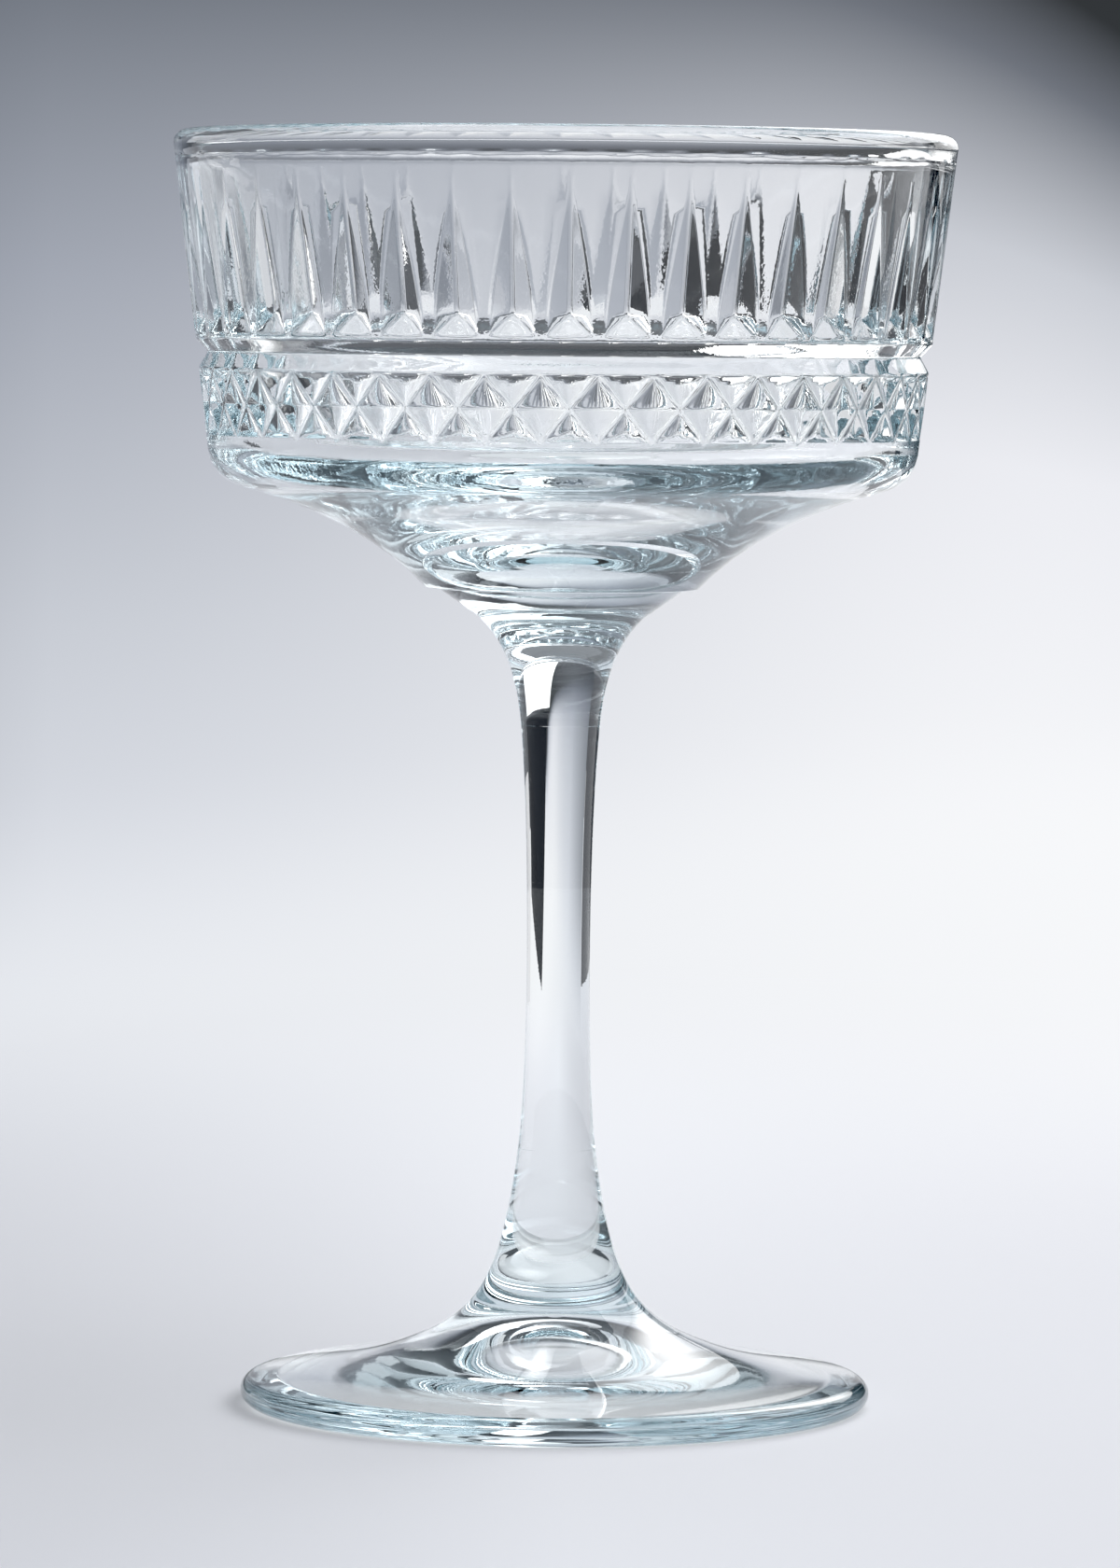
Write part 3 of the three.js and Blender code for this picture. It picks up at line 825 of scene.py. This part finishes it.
def glow_card(name, colour, strength, middle):
    """The face of a lamp or card, which shines on the side of the glass. A card is evenly bright, and the
    cloth of a lamp is brightest round its middle: strength is (at the edge, at the middle)."""
    material, tree = new_material(name)
    place = add_node(tree, "ShaderNodeTexCoord").outputs["Object"]
    away = add_node(tree, "ShaderNodeVectorMath", {"operation": "DISTANCE"}, in0=place, in1=middle)
    power = add_node(
        tree, "ShaderNodeMapRange", SMOOTH, Value=away.outputs["Value"], From_Min=0.0, From_Max=LAMP_REACH,
        To_Min=strength[1], To_Max=strength[0],
    )
    glow = add_node(tree, "ShaderNodeEmission", Color=linear(colour), Strength=power)
    clear = add_node(tree, "ShaderNodeBsdfTransparent", Color=linear("#ffffff"))
    behind = add_node(tree, "ShaderNodeNewGeometry").outputs["Backfacing"]
    seen = add_node(tree, "ShaderNodeMixShader", Fac=behind, in1=glow, in2=clear)
    add_node(tree, "ShaderNodeOutputMaterial", Surface=seen)
    return material


def toward(azimuth, elevation, distance):
    """A place in metres as seen from the middle of the stem: azimuth 0 is straight behind it, positive to
    the right, and elevation is over the table."""
    a = math.radians(azimuth)
    e = math.radians(elevation)
    way = np.array([math.sin(a) * math.cos(e), math.cos(a) * math.cos(e), math.sin(e)])
    return way * distance + [0, 0, EYE_HEIGHT]


def panel(name, directions, distance, colour, strength, unseen=()):
    """A lamp or a card whose corners lie in directions (azimuth, elevation) round the glass, anticlockwise
    as the glass sees them. It is hidden from the camera and from the unseen kinds of light: an UNLIT card
    doesn't light the set and shows only in the glass, and a THROUGH card shows only through it, not as a
    reflection."""
    points = [toward(a, e, distance) for a, e in directions]
    face = glow_card(name, colour, strength, np.mean(points, 0))
    made = stage_object(name, points, [tuple(range(len(points)))], face)
    for kind in ("camera", *unseen):
        setattr(made, "visible_" + kind, False)


def studio_room():
    """The room that the glass reflects: dark grey low down, pale above, and high up brighter on the right
    and darker on the left."""
    world = bpy.data.worlds.new("studio_room")
    world.use_nodes = True
    tree = world.node_tree
    tree.nodes.clear()
    way = add_node(tree, "ShaderNodeTexCoord").outputs["Generated"]
    look = add_node(tree, "ShaderNodeSeparateXYZ", Vector=way)
    across = look.outputs["X"]
    rise = look.outputs["Z"]
    level = add_node(tree, "ShaderNodeMapRange", Value=rise, From_Min=AIR_RISE[0], From_Max=AIR_RISE[1])
    air = add_node(tree, "ShaderNodeValToRGB", stops=AIR_COLOURS, Fac=level)
    side = add_node(
        tree, "ShaderNodeMapRange", SMOOTH, Value=across, From_Min=SIDE_ACROSS[0], From_Max=SIDE_ACROSS[1],
        To_Min=SIDE_CHANGE[0], To_Max=SIDE_CHANGE[1],
    )
    high = add_node(
        tree, "ShaderNodeMapRange", SMOOTH, Value=rise, From_Min=SIDE_RISE[0], From_Max=SIDE_RISE[1],
    )
    lit = add_node(tree, "ShaderNodeMath", TIMES_AND_ADD, in0=side, in1=high, in2=1.0)
    background = add_node(tree, "ShaderNodeBackground", Color=air, Strength=lit)
    add_node(tree, "ShaderNodeOutputWorld", Surface=background)
    return world


(ax, ay), (bx, by) = BACKDROP_LEFT, BACKDROP_END
sheet = [(ax, ay, 0), (bx, by, 0), (bx, by, BACKDROP_HEIGHT), (ax, ay, BACKDROP_HEIGHT)]
stage_object("backdrop", sheet, [(0, 1, 2, 3)], backdrop_paper())
turns = np.arange(FLOOR_CORNERS) * 2 * math.pi / FLOOR_CORNERS
drop = np.full(FLOOR_CORNERS, -FLOOR_DROP)
ring = np.stack([FLOOR_REACH * np.cos(turns), FLOOR_REACH * np.sin(turns), drop], 1)
stage_object("floor", ring, [tuple(range(FLOOR_CORNERS))], floor_paper())
panel("key_softbox", ((11.5, 8), (46.5, 8), (42, 46), (-4, 46)), 0.76, "#ffffff", (1.3, 7.0))
panel("black_card", ((23, -7.3), (50, -3.5), (50, 8.1), (12.5, 8.1)), 0.45, "#25272b", EVEN, UNLIT)
panel("white_card", ((53, -9), (88, -9), (88, 4), (53, 4)), 0.30, "#e6e6e8", EVEN, THROUGH)
panel("grey_card", ((-90, -6.6), (-34, -9), (-34, 7.5), (-90, 7.5)), 0.22, "#55575b", EVEN, THROUGH)
panel("pale_card", ((-100, -5.5), (-34, -5.5), (-34, 2), (-100, 2)), 0.65, "#d8dade", EVEN, UNLIT)
panel("ceiling_card", [(a, 52) for a in range(0, 360, 45)], 0.60, "#8e9094", EVEN, UNLIT)

scene = bpy.context.scene
scene.world = studio_room()


# Camera: long lens at the height of the bowl, looking slightly down, turned a hair on its own axis

LENS = 175.5
SENSOR_WIDTH = 36
CAMERA_AWAY = 0.925
CAMERA_HEIGHT = 0.13275
CAMERA_AZIMUTH = math.radians(-0.84)
CAMERA_PITCH = math.radians(3.5386)
CAMERA_ROLL = math.radians(0.53)

camera = bpy.data.cameras.new("camera")
camera.lens = LENS
camera.sensor_width = SENSOR_WIDTH
camera.clip_start = 0.05
camera.clip_end = 20
eye = bpy.data.objects.new("camera", camera)
pan = Matrix.Rotation(CAMERA_AZIMUTH, 4, "Z")
tilt = Matrix.Rotation(math.pi / 2 - CAMERA_PITCH, 4, "X")
roll = Matrix.Rotation(CAMERA_ROLL, 4, "Z")
stand = (CAMERA_AWAY * math.sin(CAMERA_AZIMUTH), -CAMERA_AWAY * math.cos(CAMERA_AZIMUTH), CAMERA_HEIGHT)
eye.matrix_world = Matrix.Translation(stand) @ pan @ tilt @ roll
bpy.context.collection.objects.link(eye)
scene.camera = eye

# The photo's deep contrast, and enough bounces for light to pass through every wall of the glass
BLACK_LEVEL = 0.035
GLASS_BOUNCES = 40
GLOSSY_BOUNCES = 24

scene.view_settings.view_transform = "Standard"
scene.view_settings.use_curve_mapping = True
scene.view_settings.curve_mapping.black_level = [BLACK_LEVEL] * 3
scene.cycles.max_bounces = GLASS_BOUNCES
scene.cycles.transmission_bounces = GLASS_BOUNCES
scene.cycles.transparent_max_bounces = GLASS_BOUNCES
scene.cycles.glossy_bounces = GLOSSY_BOUNCES
